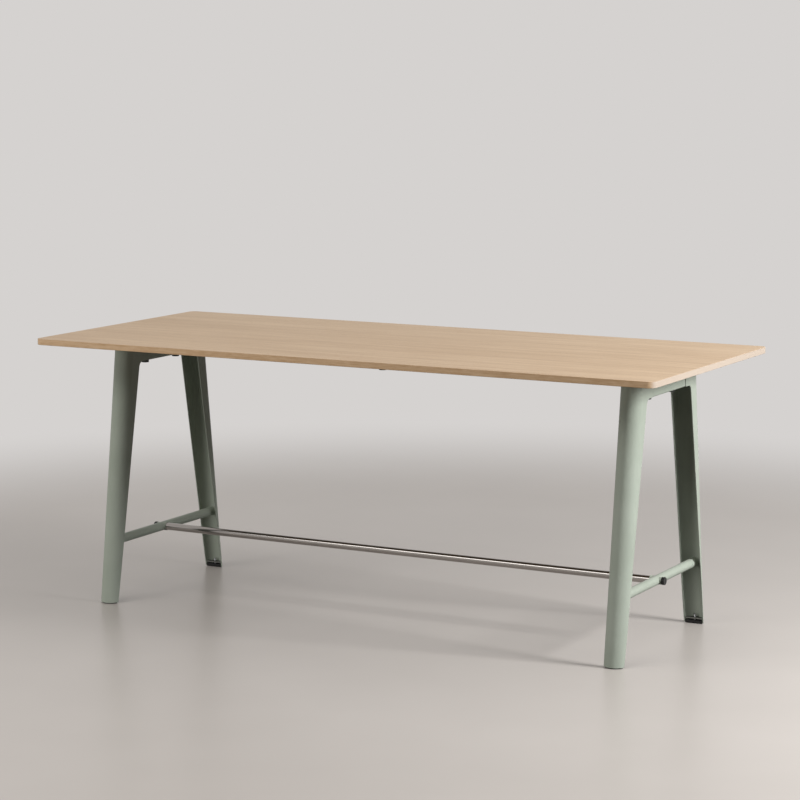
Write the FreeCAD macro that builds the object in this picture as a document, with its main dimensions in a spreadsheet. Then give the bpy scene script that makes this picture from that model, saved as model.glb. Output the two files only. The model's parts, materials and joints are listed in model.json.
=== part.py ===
"""High table: an oak top on two steel trestles of bent half-pipe legs, with a stainless footrest bar.

Millimetres, +Z up, X along the table, Y across it; the origin is on the floor under the table's centre.
Every leg is drawn once, as the back leg with its round side towards +Y, and turned half round for the front.
"""
import FreeCAD, Part
import math
import os
import Sketcher
from FreeCAD import Placement, Rotation, Vector

os.makedirs("parts", exist_ok=True)
doc = FreeCAD.newDocument("high_table")

# Driving sizes
SIZES = [
    ("table_length", 2200, "top, along X"),
    ("table_width", 950, "top, along Y"),
    ("table_height", 900, "floor to top face"),
    ("top_thickness", 20, "oak panel"),
    ("top_corner_radius", 25, "corners seen from above"),
    ("top_edge_round", 1.5, "softened edges"),
    ("frame_inset", 178, "end of the top to the middle of a trestle"),
    ("leg_radius", 35, "outside of the half-pipe"),
    ("sheet_thickness", 3, "bent steel sheet of legs and beams"),
    ("leg_axis_top", 205, "half-pipe axis to the middle plane, under the top"),
    ("leg_axis_foot", 315, "half-pipe axis to the middle plane, on the floor"),
    ("cheek_depth", 43, "cheek edge inside the half-pipe axis, under the top"),
    ("rim_setback", 9, "cheek edge outside the half-pipe axis, on the floor"),
    ("leg_floor_gap", 3, "sheet ends this far above the floor"),
    ("tab_height", 78, "tab at the head of each cheek, and the beam"),
    ("tab_reach", 133, "end of the tab to the middle plane"),
    ("tab_fillet", 20, "inner corner between tab and cheek"),
    ("beam_bend_radius", 2, "inside of the beam's bends"),
    ("beam_seam", 0.4, "closed joint of beam and front tabs"),
    ("beam_slack", 5, "open joint of beam and back tabs"),
    ("knob_offset", 93, "thumb screws to the middle plane"),
    ("tongue_thickness", 6, "plate welded in a leg's head"),
    ("tongue_margin", 25, "tongue beyond its thumb screw"),
    ("weld_gap", 0.1, "between welded pieces"),
    ("stiffener_width", 30, "box tube under the top"),
    ("stiffener_depth", 46, "box tube under the top"),
    ("stiffener_wall", 2, "box tube under the top"),
    ("stiffener_overlap", 15, "tube beyond its end thumb screws"),
    ("notch_gap", 0.5, "round the tube in the beam's notch"),
    ("rail_height", 206, "axis of cross rails and footrest bar"),
    ("rail_diameter", 30, "cross rail"),
    ("rail_wall", 2, "cross rail"),
    ("bar_diameter", 25, "stainless footrest bar"),
    ("bar_wall", 1.5, "stainless footrest bar"),
    ("bar_fit_gap", 0.15, "bar in its socket, and its plug in the bar"),
    ("socket_diameter", 28, "green cup round the bar's end"),
    ("socket_reach", 4, "cup beyond the rail"),
    ("socket_depth", 3, "recess for the bar's end"),
    ("seat_diameter", 24, "green seat under the bar's thumb screw"),
    ("seat_reach", 4, "seat beyond the rail"),
    ("plug_length", 25, "threaded plug in the bar's end"),
    ("plug_grip", 18, "thumb screw in the plug"),
    ("knob_diameter", 25, "thumb screw heads"),
    ("knob_height", 11.5, "thumb screw heads"),
    ("knob_collar_diameter", 18, "raised ring that bears on the seat"),
    ("knob_collar_height", 1, "raised ring that bears on the seat"),
    ("knob_chamfer", 1, "head's edges"),
    ("knob_recess_diameter", 18, "dished outer face"),
    ("knob_recess_depth", 0.8, "dished outer face"),
    ("knob_core_depth", 4.5, "screw moulded into the head"),
    ("flute_radius", 2, "grip flutes"),
    ("flute_depth", 0.5, "grip flutes"),
    ("flute_count", 16, "grip flutes"),
    ("screw_diameter", 8, "thumb screws and levelling screws"),
    ("screw_chamfer", 1, "screw tips"),
    ("running_gap", 0.08, "screw in its thread, radial"),
    ("press_gap", 0.05, "moulded and pressed pieces, radial"),
    ("bolt_hole_diameter", 9, "clearance holes for the screws"),
    ("insert_diameter", 12, "threaded inserts in the top"),
    ("insert_length", 14, "threaded inserts in the top"),
    ("insert_spare", 0.5, "hole beyond the insert"),
    ("insert_grip", 12, "thumb screw in the insert"),
    ("washer_diameter", 20, "under the thumb screws"),
    ("washer_thickness", 1.2, "under the thumb screws"),
    ("foot_screw_offset", 18, "levelling screw outside the half-pipe axis on the floor"),
    ("foot_plate_height", 16, "floor to the plate in a leg's foot"),
    ("foot_plate_thickness", 4, "plate in a leg's foot"),
    ("foot_plate_lip", 11, "plate's straight edge to its screw"),
    ("foot_screw_top", 31, "floor to the screw's tip"),
    ("foot_screw_seat", 4, "floor to the screw's moulded end"),
    ("glide_height", 11, "plastic pad in a leg's foot"),
    ("glide_gap", 0.5, "between the pad and its leg"),
    ("glide_chamfer", 1, "pad's edges"),
]

# Places that follow from the driving sizes
PLACES = [
    ("underside", "Sizes.table_height - Sizes.top_thickness"),
    ("half_length", "Sizes.table_length / 2"),
    ("half_width", "Sizes.table_width / 2"),
    ("frame_x", "half_length - Sizes.frame_inset"),
    ("leg_height", "underside - Sizes.leg_floor_gap"),
    ("inner_radius", "Sizes.leg_radius - Sizes.sheet_thickness"),
    ("lean", "(Sizes.leg_axis_foot - Sizes.leg_axis_top) / underside"),
    ("axis_low", "Sizes.leg_axis_foot - lean * Sizes.leg_floor_gap"),
    ("rim_top", "Sizes.leg_axis_top - Sizes.cheek_depth"),
    ("rim_foot", "Sizes.leg_axis_foot + Sizes.rim_setback"),
    ("rim_lean", "(rim_foot - rim_top) / underside"),
    ("rim_below", "rim_foot + rim_lean * Sizes.leg_floor_gap"),
    ("below_floor", "0 - Sizes.leg_floor_gap"),
    ("tab_low", "underside - Sizes.tab_height"),
    ("fillet_length", "Sizes.tab_fillet * (sqrt(1 + rim_lean ^ 2) - rim_lean)"),
    ("fillet_y", "rim_top + rim_lean * Sizes.tab_height - fillet_length"),
    ("fillet_z", "tab_low - Sizes.tab_fillet"),
    ("rim_slope", "sqrt(1 + rim_lean ^ 2)"),
    ("fillet_low_y", "fillet_y + Sizes.tab_fillet / rim_slope"),
    ("fillet_low_z", "fillet_z + Sizes.tab_fillet * rim_lean / rim_slope"),
    ("cheek_end_top", "Sizes.tab_reach - lean * Sizes.tab_height - Sizes.sheet_thickness"),
    ("cheek_end_low", "cheek_end_top + lean * leg_height"),
    ("web_top", "tab_low + Sizes.sheet_thickness"),
    ("outer_bend", "Sizes.beam_bend_radius + Sizes.sheet_thickness"),
    ("bend_x", "Sizes.leg_radius - outer_bend"),
    ("bend_z", "tab_low + outer_bend"),
    ("beam_front", "Sizes.tab_reach - Sizes.beam_seam"),
    ("beam_back", "Sizes.tab_reach - Sizes.beam_slack"),
    ("bolt_radius", "Sizes.bolt_hole_diameter / 2"),
    ("screw_radius", "Sizes.screw_diameter / 2"),
    ("screw_tip_radius", "screw_radius - Sizes.screw_chamfer"),
    ("thread_radius", "screw_radius + Sizes.running_gap"),
    ("core_radius", "screw_radius + Sizes.press_gap"),
    ("tongue_inner", "Sizes.knob_offset - Sizes.tongue_margin"),
    ("tongue_outer", "Sizes.leg_axis_foot - lean * (web_top + Sizes.tongue_thickness)"),
    ("tongue_neck", "inner_radius - Sizes.beam_bend_radius - Sizes.notch_gap"),
    ("tongue_wide", "inner_radius - Sizes.weld_gap"),
    ("stiffener_half", "Sizes.stiffener_width / 2"),
    ("stiffener_core", "stiffener_half - Sizes.stiffener_wall"),
    ("stiffener_low", "underside - Sizes.stiffener_depth"),
    ("stiffener_core_low", "stiffener_low + Sizes.stiffener_wall"),
    ("stiffener_core_high", "underside - Sizes.stiffener_wall"),
    ("stiffener_end", "frame_x + Sizes.stiffener_overlap"),
    ("notch_inner", "Sizes.knob_offset - stiffener_half - Sizes.notch_gap"),
    ("notch_outer", "Sizes.knob_offset + stiffener_half + Sizes.notch_gap"),
    ("notch_low", "stiffener_low - Sizes.notch_gap"),
    ("rail_radius", "Sizes.rail_diameter / 2"),
    ("rail_bore", "rail_radius - Sizes.rail_wall"),
    ("rail_axis_meet", "Sizes.leg_axis_foot - lean * Sizes.rail_height"),
    ("rail_blank", "rail_axis_meet + Sizes.leg_radius"),
    ("cope_radius", "inner_radius - Sizes.weld_gap"),
    ("cope_axis", "rail_axis_meet - lean * rail_radius"),
    ("cope_far", "rail_blank + Sizes.leg_radius"),
    ("saddle_radius", "rail_radius + Sizes.weld_gap"),
    ("bar_radius", "Sizes.bar_diameter / 2"),
    ("bar_bore", "bar_radius - Sizes.bar_wall"),
    ("socket_radius", "Sizes.socket_diameter / 2"),
    ("socket_bore", "bar_radius + Sizes.bar_fit_gap"),
    ("socket_end", "rail_radius + Sizes.socket_reach"),
    ("socket_floor", "socket_end - Sizes.socket_depth"),
    ("seat_radius", "Sizes.seat_diameter / 2"),
    ("seat_end", "rail_radius + Sizes.seat_reach"),
    ("bar_end", "frame_x - socket_floor - Sizes.bar_fit_gap"),
    ("plug_radius", "bar_bore - Sizes.bar_fit_gap"),
    ("plug_inner_end", "bar_end - Sizes.plug_length"),
    ("knob_radius", "Sizes.knob_diameter / 2"),
    ("knob_edge_radius", "knob_radius - Sizes.knob_chamfer"),
    ("knob_collar_radius", "Sizes.knob_collar_diameter / 2"),
    ("knob_recess_radius", "Sizes.knob_recess_diameter / 2"),
    ("flute_place", "knob_radius + Sizes.flute_radius - Sizes.flute_depth"),
    ("knob_top", "Sizes.knob_height - Sizes.knob_collar_height"),
    ("knob_shoulder", "knob_top - Sizes.knob_chamfer"),
    ("knob_core", "Sizes.knob_height - Sizes.knob_core_depth"),
    ("leg_washer_low", "tab_low - Sizes.washer_thickness"),
    ("mid_washer_low", "stiffener_low - Sizes.washer_thickness"),
    ("leg_knob_low", "leg_washer_low - Sizes.knob_height"),
    ("mid_knob_low", "mid_washer_low - Sizes.knob_height"),
    ("bar_knob_out", "frame_x + seat_end + Sizes.knob_height"),
    ("leg_screw_tip", "underside + Sizes.insert_grip - leg_knob_low"),
    ("leg_screw_shoulder", "leg_screw_tip - Sizes.screw_chamfer"),
    ("mid_screw_tip", "underside + Sizes.insert_grip - mid_knob_low"),
    ("mid_screw_shoulder", "mid_screw_tip - Sizes.screw_chamfer"),
    ("bar_screw_tip", "bar_knob_out - bar_end + Sizes.plug_grip"),
    ("bar_screw_shoulder", "bar_screw_tip - Sizes.screw_chamfer"),
    ("insert_radius", "Sizes.insert_diameter / 2"),
    ("insert_hole", "insert_radius + Sizes.press_gap"),
    ("insert_depth", "Sizes.insert_length + Sizes.insert_spare"),
    ("washer_radius", "Sizes.washer_diameter / 2"),
    ("plate_axis", "Sizes.leg_axis_foot - lean * (Sizes.foot_plate_height + Sizes.foot_plate_thickness)"),
    ("foot_y", "Sizes.leg_axis_foot + Sizes.foot_screw_offset"),
    ("plate_edge", "foot_y - Sizes.foot_plate_lip"),
    ("foot_screw_shoulder", "Sizes.foot_screw_top - Sizes.screw_chamfer"),
    ("glide_axis", "Sizes.leg_axis_foot - lean * Sizes.glide_height"),
    ("glide_radius", "inner_radius - Sizes.glide_gap"),
]


def fill_sheet(name, rows):
    """A sheet with one named cell per row."""
    sheet = doc.addObject("Spreadsheet::Sheet", name)
    for line, row in enumerate(rows, start=1):
        sheet.set(f"A{line}", row[0])
        sheet.set(f"B{line}", row[1])
        sheet.setAlias(f"B{line}", row[0])
    doc.recompute()
    return sheet


fill_sheet("Sizes", [(name, str(size)) for name, size, _ in SIZES])
fill_sheet("Places", [(name, "=" + formula) for name, formula in PLACES])


def number(cell):
    """The number in a cell such as Sizes.leg_radius, which may carry a minus sign."""
    if cell == "0":
        return 0.0
    sign = -1.0 if cell.startswith("-") else 1.0
    sheet, alias = cell.lstrip("-").split(".")
    return sign * float(getattr(doc.getObject(sheet), alias))


def bind(item, **cells):
    """Tie properties of an object to cells; a double underscore stands for a dot."""
    for prop, cell in cells.items():
        item.setExpression(prop.replace("__", "."), cell)
    return item


sub_parts = []


def sub_part(item, label, solids=1):
    """Name a finished piece and note how many solids it is made of."""
    item.Label = label
    sub_parts.append((item, solids))
    return item


# Sketch helpers
def new_body(label):
    return sub_part(doc.addObject("PartDesign::Body", "body_" + label), label)


def origin_plane(body, role):
    return next(item for item in body.Origin.OriginFeatures if item.Role == role)


def sketch_on(body, role, lift=None):
    """A sketch on one of the body's origin planes, lifted along the plane's normal by a cell."""
    sketch = body.newObject("Sketcher::SketchObject", "sketch")
    sketch.AttachmentSupport = [(origin_plane(body, role), "")]
    sketch.MapMode = "FlatFace"
    if lift:
        bind(sketch, AttachmentOffset__Base__z=lift)
    return sketch


def datum(sketch, constraint, cell):
    index = sketch.addConstraint(constraint)
    sketch.setExpression(f"Constraints[{index}]", cell)


def hold(sketch, geometry, point, across, up):
    """Hold a point of the sketch at two cells, or on an axis where the cell is 0."""
    for axis, kind, cell in ((-2, "DistanceX", across), (-1, "DistanceY", up)):
        if cell == "0":
            sketch.addConstraint(Sketcher.Constraint("PointOnObject", geometry, point, axis))
        else:
            datum(sketch, Sketcher.Constraint(kind, -1, 1, geometry, point, number(cell)), cell)


def outline(sketch, corners):
    """A closed outline of straight lines with every corner held."""
    points = [Vector(number(across), number(up), 0) for across, up in corners]
    first = sketch.GeometryCount
    for here, there in zip(points, points[1:] + points[:1]):
        sketch.addGeometry(Part.LineSegment(here, there))
    for step, (across, up) in enumerate(corners):
        following = first + (step + 1) % len(corners)
        sketch.addConstraint(Sketcher.Constraint("Coincident", first + step, 2, following, 1))
        hold(sketch, first + step, 1, across, up)
    return sketch


def box_corners(left, low, right, high):
    return [(left, low), (right, low), (right, high), (left, high)]


def circle(sketch, across, up, radius):
    centre = Vector(number(across), number(up), 0)
    geometry = sketch.addGeometry(Part.Circle(centre, Vector(0, 0, 1), number(radius)))
    hold(sketch, geometry, 3, across, up)
    datum(sketch, Sketcher.Constraint("Radius", geometry, number(radius)), radius)
    return sketch


def arc(sketch, across, up, radius, start, end):
    """An arc with its centre and radius held, from start to end degrees; its ends are still free."""
    centre = Vector(number(across), number(up), 0)
    base = Part.Circle(centre, Vector(0, 0, 1), number(radius))
    geometry = sketch.addGeometry(Part.ArcOfCircle(base, math.radians(start), math.radians(end)))
    hold(sketch, geometry, 3, across, up)
    datum(sketch, Sketcher.Constraint("Radius", geometry, number(radius)), radius)
    return geometry


def line(sketch, here, there):
    ends = [Vector(number(across), number(up), 0) for across, up in (here, there)]
    return sketch.addGeometry(Part.LineSegment(*ends))


def join(sketch, *links):
    for link in links:
        sketch.addConstraint(Sketcher.Constraint("Coincident", *link))


def level_ends(sketch, geometry):
    """Put both ends of an arc level with its centre."""
    for end in (1, 2):
        sketch.addConstraint(Sketcher.Constraint("Horizontal", geometry, end, geometry, 3))


# Feature helpers
def pad(body, sketch, length, both_sides=False, reverse=False):
    feature = body.newObject("PartDesign::Pad", "pad")
    feature.Profile = sketch
    feature.SideType = "Symmetric" if both_sides else "One side"
    feature.Reversed = reverse
    bind(feature, Length=length)
    doc.recompute()
    return feature


def pocket(body, sketch, sides="Symmetric", length=None, reverse=False):
    """Cut a sketch through everything, or to a length, and make sure that it removed material."""
    before = body.Shape.Volume
    feature = body.newObject("PartDesign::Pocket", "pocket")
    feature.Profile = sketch
    feature.SideType = sides
    feature.Type = "Length" if length else "ThroughAll"
    feature.Reversed = reverse
    if length:
        bind(feature, Length=length)
    doc.recompute()
    if not body.Shape.Volume < before:
        raise RuntimeError("a cut in " + body.Label + " removes nothing")
    return feature


def level_edges(feature):
    """The names of the edges that lie level."""
    return [
        f"Edge{index}"
        for index, edge in enumerate(feature.Shape.Edges, start=1)
        if edge.BoundBox.ZLength < 1e-6
    ]


def revolve(body, sketch, axis):
    feature = body.newObject("PartDesign::Revolution", "revolution")
    feature.Profile = sketch
    feature.ReferenceAxis = (sketch, [axis])
    doc.recompute()
    return feature


def turned(label, corners):
    """A piece turned about Z from (radius, height) corners."""
    body = new_body(label)
    revolve(body, outline(sketch_on(body, "XZ_Plane"), corners), "V_Axis")
    return body


def place(body, angle=0, axis=Vector(0, 0, 1), **cells):
    """Turn a finished piece and tie its place to cells given as x, y and z."""
    body.Placement = Placement(Vector(0, 0, 0), Rotation(axis, angle))
    return bind(body, **{"Placement__Base__" + name: cell for name, cell in cells.items()})


# The four corners: name, X of the trestle, sign of Y, turn of the leg
ENDS = [("left", "-Places.frame_x"), ("right", "Places.frame_x")]
CORNERS = [
    (f"{row}_{end}", end_x, sign, turn)
    for end, end_x in ENDS
    for row, sign, turn in (("front", "-", 180), ("back", "", 0))
]


# Tabletop
def make_tabletop():
    body = new_body("tabletop")
    plan = outline(
        sketch_on(body, "XY_Plane", "Places.underside"),
        box_corners("-Places.half_length", "-Places.half_width", "Places.half_length", "Places.half_width"),
    )
    slab = pad(body, plan, "Sizes.top_thickness")
    upright = [
        f"Edge{index}"
        for index, edge in enumerate(slab.Shape.Edges, start=1)
        if abs(edge.Length - number("Sizes.top_thickness")) < 1e-6
    ]
    corners = body.newObject("PartDesign::Fillet", "corners")
    corners.Base = (slab, upright)
    bind(corners, Radius="Sizes.top_corner_radius")
    doc.recompute()
    soft = body.newObject("PartDesign::Fillet", "soft_edges")
    soft.Base = (corners, level_edges(corners))
    bind(soft, Radius="Sizes.top_edge_round")
    doc.recompute()
    holes = sketch_on(body, "XY_Plane", "Places.underside")
    for across in ("-Places.frame_x", "0", "Places.frame_x"):
        for up in ("-Sizes.knob_offset", "Sizes.knob_offset"):
            circle(holes, across, up, "Places.insert_hole")
    pocket(body, holes, "One side", "Places.insert_depth", reverse=True)


# Legs: a half-pipe swept along its lean, then cut along the cheek's edge, the fillet and the tab
def leg_section(body):
    """The bent sheet seen from above: half a ring with two straight cheeks."""
    sketch = sketch_on(body, "XY_Plane", "Sizes.leg_floor_gap")
    outer = arc(sketch, "0", "Places.axis_low", "Sizes.leg_radius", 0, 180)
    inner = arc(sketch, "0", "Places.axis_low", "Places.inner_radius", 0, 180)
    level_ends(sketch, outer)
    level_ends(sketch, inner)
    for side, end in (("", 1), ("-", 2)):
        outside = line(
            sketch,
            (side + "Sizes.leg_radius", "Places.axis_low"),
            (side + "Sizes.leg_radius", "Places.cheek_end_low"),
        )
        inside = line(
            sketch,
            (side + "Places.inner_radius", "Places.axis_low"),
            (side + "Places.inner_radius", "Places.cheek_end_low"),
        )
        edge = line(
            sketch,
            (side + "Sizes.leg_radius", "Places.cheek_end_low"),
            (side + "Places.inner_radius", "Places.cheek_end_low"),
        )
        join(sketch, (outer, end, outside, 1), (inner, end, inside, 1))
        join(sketch, (outside, 2, edge, 1), (inside, 2, edge, 2))
        for cheek in (outside, inside):
            sketch.addConstraint(Sketcher.Constraint("Vertical", cheek))
            datum(
                sketch,
                Sketcher.Constraint("DistanceY", -1, 1, cheek, 2, number("Places.cheek_end_low")),
                "Places.cheek_end_low",
            )
    return sketch


def leg_cut_away(body):
    """What is cut off inside the leg, seen from the side: along the tab, its fillet and the cheek's edge."""
    sketch = sketch_on(body, "YZ_Plane")
    corners = [
        ("Places.rim_below", "Places.below_floor"),
        ("0", "Places.below_floor"),
        ("0", "Sizes.table_height"),
        ("Sizes.tab_reach", "Sizes.table_height"),
        ("Sizes.tab_reach", "Places.tab_low"),
        ("Places.fillet_y", "Places.tab_low"),
    ]
    straight = [line(sketch, here, there) for here, there in zip(corners, corners[1:])]
    for here, there in zip(straight, straight[1:]):
        join(sketch, (here, 2, there, 1))
    for piece, (across, up) in zip(straight, corners):
        hold(sketch, piece, 1, across, up)
    rim_angle = math.degrees(math.atan(number("Places.rim_lean")))
    fillet = arc(sketch, "Places.fillet_y", "Places.fillet_z", "Sizes.tab_fillet", rim_angle, 90)
    rim = line(sketch, ("Places.fillet_low_y", "Places.fillet_low_z"), corners[0])
    sketch.addConstraint(Sketcher.Constraint("Vertical", fillet, 2, fillet, 3))
    join(sketch, (straight[-1], 2, fillet, 2), (fillet, 1, rim, 1), (rim, 2, straight[0], 1))
    meet = Sketcher.Constraint("DistanceX", -1, 1, rim, 1, number("Places.fillet_low_y"))
    datum(sketch, meet, "Places.fillet_low_y")
    return sketch


def make_leg(label, end_x, turn):
    body = new_body("leg_" + label)
    shell = pad(body, leg_section(body), "Places.leg_height")
    shell.UseCustomVector = True
    shell.Direction = Vector(0, -number("Places.lean"), 1)
    shell.AlongSketchNormal = True
    bind(shell, Direction__y="-Places.lean")
    doc.recompute()
    pocket(body, leg_cut_away(body))
    place(body, turn, x=end_x)


def make_tongue(label, end_x, turn):
    """The plate welded between a leg's tabs, reaching into the beam to the thumb screw."""
    body = new_body("tongue_" + label)
    right_side = [
        ("Places.tongue_neck", "Places.tongue_inner"),
        ("Places.tongue_neck", "Sizes.tab_reach"),
        ("Places.tongue_wide", "Sizes.tab_reach"),
        ("Places.tongue_wide", "Places.tongue_outer"),
    ]
    left_side = [("-" + across, up) for across, up in reversed(right_side)]
    plan = outline(sketch_on(body, "XY_Plane", "Places.web_top"), right_side + left_side)
    pad(body, plan, "Sizes.tongue_thickness")
    pocket(body, circle(sketch_on(body, "XY_Plane"), "0", "Sizes.knob_offset", "Places.bolt_radius"))
    place(body, turn, x=end_x)


# Beams: a channel with its web down, flush with the tabs
def beam_section(body):
    sketch = sketch_on(body, "XZ_Plane")
    bends = []
    for side, lowest, outermost in (("", 270, 360), ("-", 180, 270)):
        centre = (side + "Places.bend_x", "Places.bend_z")
        outer = arc(sketch, *centre, "Places.outer_bend", lowest, outermost)
        inner = arc(sketch, *centre, "Sizes.beam_bend_radius", lowest, outermost)
        outer_top = (side + "Sizes.leg_radius", "Places.underside")
        inner_top = (side + "Places.inner_radius", "Places.underside")
        outside = line(sketch, (side + "Sizes.leg_radius", "Places.bend_z"), outer_top)
        inside = line(sketch, (side + "Places.inner_radius", "Places.bend_z"), inner_top)
        edge = line(sketch, outer_top, inner_top)
        upper, lower = (2, 1) if side == "" else (1, 2)
        for bend, wall in ((outer, outside), (inner, inside)):
            sketch.addConstraint(Sketcher.Constraint("Horizontal", bend, upper, bend, 3))
            sketch.addConstraint(Sketcher.Constraint("Vertical", bend, lower, bend, 3))
            join(sketch, (bend, upper, wall, 1))
            sketch.addConstraint(Sketcher.Constraint("Vertical", wall))
        join(sketch, (outside, 2, edge, 1), (inside, 2, edge, 2))
        for wall in (outside, inside):
            height = Sketcher.Constraint("DistanceY", -1, 1, wall, 2, number("Places.underside"))
            datum(sketch, height, "Places.underside")
        bends.append((outer, inner))
    for right, left, level in zip(*bends, ("Places.tab_low", "Places.web_top")):
        web = line(sketch, ("Places.bend_x", level), ("-Places.bend_x", level))
        join(sketch, (right, 1, web, 1), (left, 2, web, 2))
    return sketch


def make_beam(end, end_x):
    body = new_body("beam_" + end)
    channel = pad(body, beam_section(body), "Places.beam_front")
    channel.SideType = "Two sides"
    bind(channel, Length2="Places.beam_back")
    doc.recompute()
    holes = sketch_on(body, "XY_Plane")
    circle(holes, "0", "-Sizes.knob_offset", "Places.bolt_radius")
    circle(holes, "0", "Sizes.knob_offset", "Places.bolt_radius")
    pocket(body, holes)
    notches = sketch_on(body, "YZ_Plane")
    sides = [("Places.notch_inner", "Places.notch_outer"), ("-Places.notch_outer", "-Places.notch_inner")]
    for left, right in sides:
        outline(notches, box_corners(left, "Places.notch_low", right, "Sizes.table_height"))
    pocket(body, notches, "One side", reverse=end == "left")
    place(body, x=end_x)


# Stiffeners: box tubes under the top, from beam to beam
def make_stiffener(row, sign):
    body = new_body("stiffener_" + row)
    section = sketch_on(body, "YZ_Plane")
    outlines = [
        ("Places.stiffener_half", "Places.stiffener_low", "Places.underside"),
        ("Places.stiffener_core", "Places.stiffener_core_low", "Places.stiffener_core_high"),
    ]
    for half, low, high in outlines:
        outline(section, box_corners("-" + half, low, half, high))
    pad(body, section, "2 * Places.stiffener_end", both_sides=True)
    holes = sketch_on(body, "XY_Plane")
    for across in ("-Places.frame_x", "0", "Places.frame_x"):
        circle(holes, across, "0", "Places.bolt_radius")
    pocket(body, holes)
    place(body, y=sign + "Sizes.knob_offset")


# Footrest
def make_rail(end, end_x):
    """A cross rail, coped at both ends along the inside of the leaning legs, from its top downwards."""
    body = new_body("footrest_rail_" + end)
    ring = sketch_on(body, "XZ_Plane")
    circle(ring, "0", "0", "Places.rail_radius")
    circle(ring, "0", "0", "Places.rail_bore")
    pad(body, ring, "2 * Places.rail_blank", both_sides=True)
    pocket(body, circle(sketch_on(body, "YZ_Plane"), "0", "0", "Places.bolt_radius"))
    cope = sketch_on(body, "XY_Plane", "Places.rail_radius")
    wall = arc(cope, "0", "Places.cope_axis", "Places.cope_radius", 0, 180)
    level_ends(cope, wall)
    corners = [
        ("-Places.cope_radius", "Places.cope_axis"),
        ("-Sizes.leg_radius", "Places.cope_axis"),
        ("-Sizes.leg_radius", "Places.cope_far"),
        ("Sizes.leg_radius", "Places.cope_far"),
        ("Sizes.leg_radius", "Places.cope_axis"),
        ("Places.cope_radius", "Places.cope_axis"),
    ]
    straight = [line(cope, here, there) for here, there in zip(corners, corners[1:])]
    for here, there in zip(straight, straight[1:]):
        join(cope, (here, 2, there, 1))
    for piece, (across, up) in zip(straight[1:], corners[1:]):
        hold(cope, piece, 1, across, up)
    join(cope, (wall, 2, straight[0], 1), (straight[-1], 2, wall, 1))
    cut = pocket(body, cope, "One side")
    cut.UseCustomVector = True
    cut.Direction = Vector(0, number("Places.lean"), -1)
    bind(cut, Direction__y="Places.lean")
    doc.recompute()
    both = body.newObject("PartDesign::Mirrored", "both_ends")
    both.Originals = [cut]
    both.MirrorPlane = (origin_plane(body, "XZ_Plane"), [""])
    body.Tip = both
    doc.recompute()
    place(body, x=end_x, z="Sizes.rail_height")


def make_saddle(label, corners, end_x, turn):
    """A ring turned about X from (length, radius) corners and hollowed to sit on the cross rail."""
    body = new_body(label)
    revolve(body, outline(sketch_on(body, "XZ_Plane"), corners), "H_Axis")
    pocket(body, circle(sketch_on(body, "XZ_Plane"), "0", "0", "Places.saddle_radius"))
    place(body, turn, x=end_x, z="Sizes.rail_height")


SOCKET = [
    ("0", "Places.bolt_radius"),
    ("0", "Places.socket_radius"),
    ("-Places.socket_end", "Places.socket_radius"),
    ("-Places.socket_end", "Places.socket_bore"),
    ("-Places.socket_floor", "Places.socket_bore"),
    ("-Places.socket_floor", "Places.bolt_radius"),
]
SEAT = [
    ("0", "Places.bolt_radius"),
    ("Places.seat_end", "Places.bolt_radius"),
    ("Places.seat_end", "Places.seat_radius"),
    ("0", "Places.seat_radius"),
]


def make_tube_along_x(label, radius, bore, length, both_sides):
    body = new_body(label)
    ring = sketch_on(body, "YZ_Plane")
    circle(ring, "0", "0", radius)
    circle(ring, "0", "0", bore)
    pad(body, ring, length, both_sides)
    return body


# Thumb screws: a fluted plastic head on a steel screw, drawn with the screw pointing up
def make_knob(label):
    """The fluted head, from its dished face at the bottom to the ring that bears on its seat."""
    body = turned(
        label,
        [
            ("0", "Sizes.knob_recess_depth"),
            ("Places.knob_recess_radius", "Sizes.knob_recess_depth"),
            ("Places.knob_recess_radius", "0"),
            ("Places.knob_edge_radius", "0"),
            ("Places.knob_radius", "Sizes.knob_chamfer"),
            ("Places.knob_radius", "Places.knob_shoulder"),
            ("Places.knob_edge_radius", "Places.knob_top"),
            ("Places.knob_collar_radius", "Places.knob_top"),
            ("Places.knob_collar_radius", "Sizes.knob_height"),
            ("Places.core_radius", "Sizes.knob_height"),
            ("Places.core_radius", "Places.knob_core"),
            ("0", "Places.knob_core"),
        ],
    )
    ground = sketch_on(body, "XY_Plane")
    flute = pocket(body, circle(ground, "Places.flute_place", "0", "Sizes.flute_radius"))
    flutes = body.newObject("PartDesign::PolarPattern", "flutes")
    flutes.Originals = [flute]
    flutes.Axis = (ground, ["N_Axis"])
    bind(flutes, Occurrences="Sizes.flute_count")
    body.Tip = flutes
    doc.recompute()
    return body


def make_screw(label, start, shoulder, tip):
    return turned(
        label,
        [
            ("0", start),
            ("Places.screw_radius", start),
            ("Places.screw_radius", shoulder),
            ("Places.screw_tip_radius", tip),
            ("0", tip),
        ],
    )


def make_thumb_screw(label, stem, **spot):
    """A head and its screw at one place; spot holds the turn and the place of both."""
    place(make_knob(label + "_knob"), **spot)
    screw = make_screw(label + "_screw", "Places.knob_core", f"Places.{stem}_shoulder", f"Places.{stem}_tip")
    place(screw, **spot)


# Feet
def segment(sketch, axis, radius, edge):
    """A slice across the half-pipe: an arc about the leg's axis and a straight edge on the open side."""
    dip = math.degrees(math.asin((number(edge) - number(axis)) / number(radius)))
    wall = arc(sketch, "0", axis, radius, dip, 180 - dip)
    chord = line(sketch, ("-" + radius, edge), (radius, edge))
    join(sketch, (wall, 2, chord, 1), (chord, 2, wall, 1))
    sketch.addConstraint(Sketcher.Constraint("Horizontal", chord))
    datum(sketch, Sketcher.Constraint("DistanceY", -1, 1, chord, 1, number(edge)), edge)
    return sketch


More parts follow.
